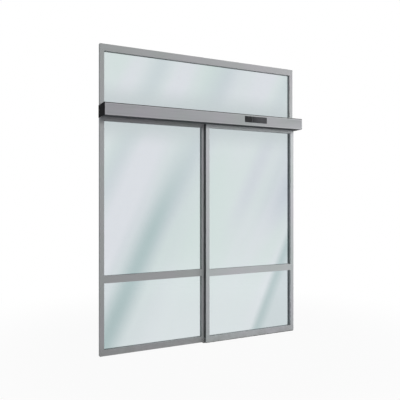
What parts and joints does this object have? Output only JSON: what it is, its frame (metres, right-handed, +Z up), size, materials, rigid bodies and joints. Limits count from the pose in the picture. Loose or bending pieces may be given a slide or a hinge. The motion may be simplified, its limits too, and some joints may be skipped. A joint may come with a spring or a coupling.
{
  "type": "automatic sliding door",
  "caption": "Automatic sliding door: a belt-driven glazed leaf slides in front of a glazed side screen, under a full-width operator and a fanlight.",
  "frame": {"origin": "on the floor, midway between the operator's ends and midway between the front of the operator and the back of the frame", "axes": "+X to the right as seen from the operator side, +Y to the back, +Z up"},
  "size_m": [2.08, 0.198, 2.75],
  "materials": {
    "frame_aluminium": "satin anodised, fine lengthwise grain",
    "cover_aluminium": "satin anodised with a brighter rim",
    "carrier_aluminium": "mill-finish extrusion",
    "door_glass": "clear laminated safety glass, pale grey-green",
    "gasket_rubber": "matt black EPDM",
    "belt_rubber": "matt black toothed belt",
    "stop_rubber": "matt black buffer",
    "dark_plastic": "moulded dark grey nylon",
    "cap_plastic": "fine-grained black",
    "unit_plastic": "fine-grained charcoal",
    "sensor_window": "gloss black, infrared-clear",
    "brush_fibre": "dense black pile",
    "bolt_steel": "zinc plated",
    "black_screws": "blackened steel",
    "carriage_steel": "zinc plated sheet",
    "motor_paint": "dark grey powder coat",
    "gearbox_casting": "fine sand-cast",
    "pulley_aluminium": "machined",
    "roller_nylon": "smooth off-white nylon"
  },
  "bodies": {
    "frame": {"left_jamb": "frame_aluminium", "right_jamb": "frame_aluminium", "mullion": "frame_aluminium", "head_rail": "frame_aluminium", "transom": "frame_aluminium", "fanlight_bottom_rail": "frame_aluminium", "side_top_rail": "frame_aluminium", "side_middle_rail": "frame_aluminium", "side_bottom_rail": "frame_aluminium", "right_jamb_closer": "frame_aluminium", "frame_glazing_beads": "frame_aluminium", "frame_gaskets": "gasket_rubber", "fanlight_glass": "door_glass", "side_upper_glass": "door_glass", "side_lower_glass": "door_glass", "frame_setting_blocks": "dark_plastic", "jamb_end_plugs": "dark_plastic", "floor_guide": "dark_plastic", "floor_guide_screws": "bolt_steel", "operator_carrier": "carrier_aluminium", "carrier_bolts": "bolt_steel", "left_end_cap": "cap_plastic", "right_end_cap": "cap_plastic", "end_cap_screws": "black_screws", "control_unit": "unit_plastic", "power_supply": "unit_plastic", "battery_pack": "unit_plastic", "drive_motor": "motor_paint", "gearbox": "gearbox_casting", "drive_belt": "belt_rubber", "idler_bracket": "carriage_steel", "end_stops": "stop_rubber"},
    "leaf": {"leaf_left_stile": "frame_aluminium", "leaf_right_stile": "frame_aluminium", "leaf_bottom_rail": "frame_aluminium", "leaf_middle_rail": "frame_aluminium", "leaf_top_rail": "frame_aluminium", "leaf_upper_glass": "door_glass", "leaf_lower_glass": "door_glass", "leaf_glazing_beads": "frame_aluminium", "leaf_gaskets": "gasket_rubber", "leaf_setting_blocks": "dark_plastic", "leaf_side_seals": "gasket_rubber", "leaf_bottom_brush": "brush_fibre", "left_carriage": "carriage_steel", "right_carriage": "carriage_steel", "carriage_bolts": "bolt_steel", "belt_clamp": "carriage_steel", "roller_axles": "bolt_steel"},
    "cover": {"front_cover": "cover_aluminium", "cover_hinge_strip": "cap_plastic", "sensor_housing": "unit_plastic", "sensor_lens": "sensor_window"},
    "left_outer_roller_body": {"left_outer_roller": "roller_nylon"},
    "left_inner_roller_body": {"left_inner_roller": "roller_nylon"},
    "right_inner_roller_body": {"right_inner_roller": "roller_nylon"},
    "right_outer_roller_body": {"right_outer_roller": "roller_nylon"},
    "drive_pulley_body": {"drive_pulley": "pulley_aluminium"},
    "idler_pulley_body": {"idler_pulley": "pulley_aluminium"}
  },
  "joints": [
    {"name": "leaf_slide", "type": "slide", "parent": "frame", "child": "leaf", "axis": [-1, 0, 0], "range_m": [0, 1.016]},
    {"name": "cover_swing", "type": "hinge", "parent": "frame", "child": "cover", "pos_m": [0, -0.095, 2.205], "axis": [-1, 0, 0], "range_deg": [0, 110]},
    {"name": "left_outer_roller_spin", "type": "hinge", "parent": "leaf", "child": "left_outer_roller_body", "pos_m": [0.068, 0.031, 2.1703], "axis": [0, -1, 0], "range_deg": [0, 3640]},
    {"name": "left_inner_roller_spin", "type": "hinge", "parent": "leaf", "child": "left_inner_roller_body", "pos_m": [0.158, 0.031, 2.1703], "axis": [0, -1, 0], "range_deg": [0, 3640]},
    {"name": "right_inner_roller_spin", "type": "hinge", "parent": "leaf", "child": "right_inner_roller_body", "pos_m": [0.84, 0.031, 2.1703], "axis": [0, -1, 0], "range_deg": [0, 3640]},
    {"name": "right_outer_roller_spin", "type": "hinge", "parent": "leaf", "child": "right_outer_roller_body", "pos_m": [0.93, 0.031, 2.1703], "axis": [0, -1, 0], "range_deg": [0, 3640]},
    {"name": "drive_pulley_spin", "type": "hinge", "parent": "frame", "child": "drive_pulley_body", "pos_m": [1, -0.003, 2.165], "axis": [0, 1, 0], "range_deg": [0, 3050]},
    {"name": "idler_pulley_spin", "type": "hinge", "parent": "frame", "child": "idler_pulley_body", "pos_m": [-1.004, -0.003, 2.165], "axis": [0, 1, 0], "range_deg": [0, 3050]}
  ],
  "couplings": [
    {"joint": "left_outer_roller_spin", "follows": "leaf_slide", "rad_per_m": 62.5},
    {"joint": "left_inner_roller_spin", "follows": "leaf_slide", "rad_per_m": 62.5},
    {"joint": "right_inner_roller_spin", "follows": "leaf_slide", "rad_per_m": 62.5},
    {"joint": "right_outer_roller_spin", "follows": "leaf_slide", "rad_per_m": 62.5},
    {"joint": "drive_pulley_spin", "follows": "leaf_slide", "rad_per_m": 52.36},
    {"joint": "idler_pulley_spin", "follows": "leaf_slide", "rad_per_m": 52.36}
  ]
}
